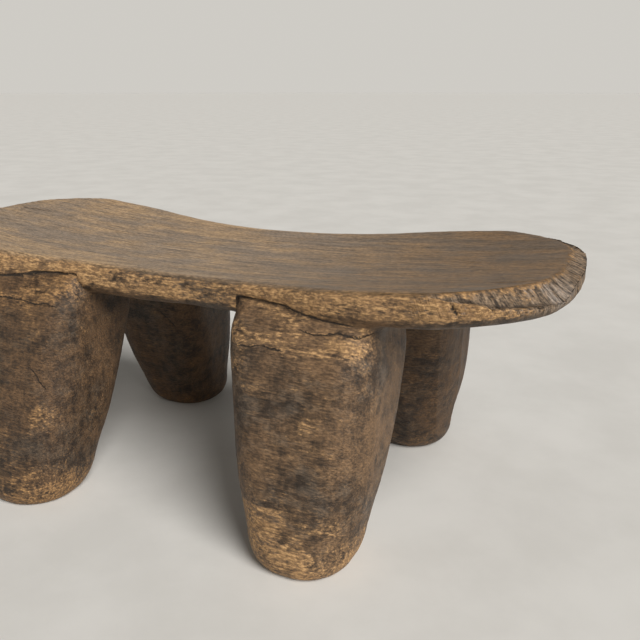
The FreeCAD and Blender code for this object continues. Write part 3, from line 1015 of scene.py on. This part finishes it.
def make_wood(name):
    """Hand-worn wood: patina, bare worn wood, polished top, chopped end grain and cracks, with painted shade
    and a painted sheen.
    """
    material = bpy.data.materials.new(name)
    graph = Graph(material)
    place = graph.add("ShaderNodeTexCoord").outputs["Object"]
    values = {field: graph.lively(place, *settings) for field, settings in FIELDS.items()}
    for mask in ("top", "end", "wear"):
        values[mask] = graph.mask(mask)
    fan = graph.add("ShaderNodeCombineXYZ", {0: graph.mask("around"), 1: graph.mask("outward")})
    values["torn"] = graph.lively(fan.outputs[0], *END_FIBRES)

    base = graph.mix(values["top"], patina_colour(graph, values), polished_colour(graph, values))
    base = graph.mix(values["end"], base, end_colour(graph, values))
    base, values["shown"] = worn_through(graph, values, base)
    # painted shade: darkens the top's right end, the back legs and the front left leg
    base = graph.mix(graph.mask("painted_shade"), base, PAINTED_SHADE_TINT, "MULTIPLY")
    base = graph.mix(1.0, base, graph.step(values["grit"], 0.0, 1.0, *GRIT_SHADES), "MULTIPLY")
    dirt = graph.step(graph.mask("hollow"), *DIRT_RANGE, 0.0, DIRT_SHARE)
    base = graph.mix(dirt, base, PATINA_DEEP)
    values["crack"] = crack_lines(graph, values)
    base = graph.mix(graph.step(values["crack"], *CRACK_RANGE, 0.0, CRACK_SHARE), base, CRACK)

    inputs = {
        "Base Color": base,
        "Roughness": graph.math("ADD", graph.weighted(values, ROUGHNESS_MIX), PLAIN_ROUGHNESS),
        "Normal": fine_relief(graph, values),
        "Specular IOR Level": SPECULAR,
    }
    shader = graph.add("ShaderNodeBsdfPrincipled", inputs)
    graph.add("ShaderNodeOutputMaterial", {"Surface": shader.outputs[0]})
    return material


# ---------------------------------------------------------------- stage

FLOOR_RADIUS = 40.0
FLOOR_SIDES = 96
FLOOR_DULL = rgb(0.61, 0.595, 0.565)
FLOOR_PALE = rgb(0.67, 0.655, 0.625)
FLOOR_CLOUDS = ((9, 9, 9), 7, 0.6)
FLOOR_RANGE = (0.3, 0.7)
FLOOR_ROUGHNESS = 0.75
WALL_GLOW = rgb(0.62, 0.60, 0.56)
CEILING_GLOW = rgb(0.04, 0.04, 0.04)
CEILING_RANGE = (0.28, 0.70)  # upward part of the direction, 0 to 1
WINDOW_SIDE = (0.66, -0.38, 0.66)  # towards the window
WINDOW_STRENGTH = 3.8
WINDOW_SPREAD = 0.6  # radians
WINDOW_COLOUR = (1.0, 0.985, 0.96)


def make_floor():
    """Very large pale disc, a little mottled like screed."""
    shape = bmesh.new()
    bmesh.ops.create_circle(shape, cap_ends=True, segments=FLOOR_SIDES, radius=FLOOR_RADIUS)
    mesh = bpy.data.meshes.new("floor")
    shape.to_mesh(mesh)
    shape.free()
    floor = bpy.data.objects.new("floor", mesh)
    bpy.context.scene.collection.objects.link(floor)
    material = bpy.data.materials.new("pale_floor")
    graph = Graph(material)
    place = graph.add("ShaderNodeTexCoord").outputs["Object"]
    cloud = graph.noise(place, *FLOOR_CLOUDS)
    colour = graph.mix(graph.step(cloud, *FLOOR_RANGE), FLOOR_DULL, FLOOR_PALE)
    shader = graph.add("ShaderNodeBsdfPrincipled", {"Base Color": colour, "Roughness": FLOOR_ROUGHNESS})
    graph.add("ShaderNodeOutputMaterial", {"Surface": shader.outputs[0]})
    mesh.materials.append(material)


def make_window():
    """Broad soft daylight from the front right."""
    data = bpy.data.lights.new("window", "SUN")
    data.energy = WINDOW_STRENGTH
    data.angle = WINDOW_SPREAD
    data.color = WINDOW_COLOUR
    light = bpy.data.objects.new("window", data)
    light.rotation_euler = (-Vector(WINDOW_SIDE)).to_track_quat("-Z", "Y").to_euler()
    bpy.context.scene.collection.objects.link(light)


def make_world():
    """Pale surroundings at eye level under a dimmer ceiling."""
    world = bpy.data.worlds.new("studio")
    bpy.context.scene.world = world
    graph = Graph(world)
    direction = graph.add("ShaderNodeTexCoord").outputs["Generated"]
    height = graph.add("ShaderNodeSeparateXYZ", {0: direction}).outputs["Z"]
    glow = graph.mix(graph.step(height, *CEILING_RANGE), WALL_GLOW, CEILING_GLOW)
    background = graph.add("ShaderNodeBackground", {"Color": glow, "Strength": 1.0})
    graph.add("ShaderNodeOutputWorld", {"Surface": background.outputs[0]})


def make_camera():
    data = bpy.data.cameras.new("camera")
    data.lens = CAMERA_LENS
    data.sensor_width = CAMERA_SENSOR
    camera = bpy.data.objects.new("camera", data)
    camera.location = CAMERA_PLACE
    camera.rotation_euler = Vector(CAMERA_AIM).to_track_quat("-Z", "Y").to_euler()
    bpy.context.scene.collection.objects.link(camera)
    bpy.context.scene.camera = camera


# ---------------------------------------------------------------- put together

make_camera()
make_world()
make_floor()
make_window()
bpy.context.scene.view_settings.view_transform = "Standard"

wood = make_wood("worn_wood")
skin, height = carve()
for node, piece in make_pieces(skin, height).items():
    piece.data.materials.append(wood)
    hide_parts(node)
    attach(piece, "root")
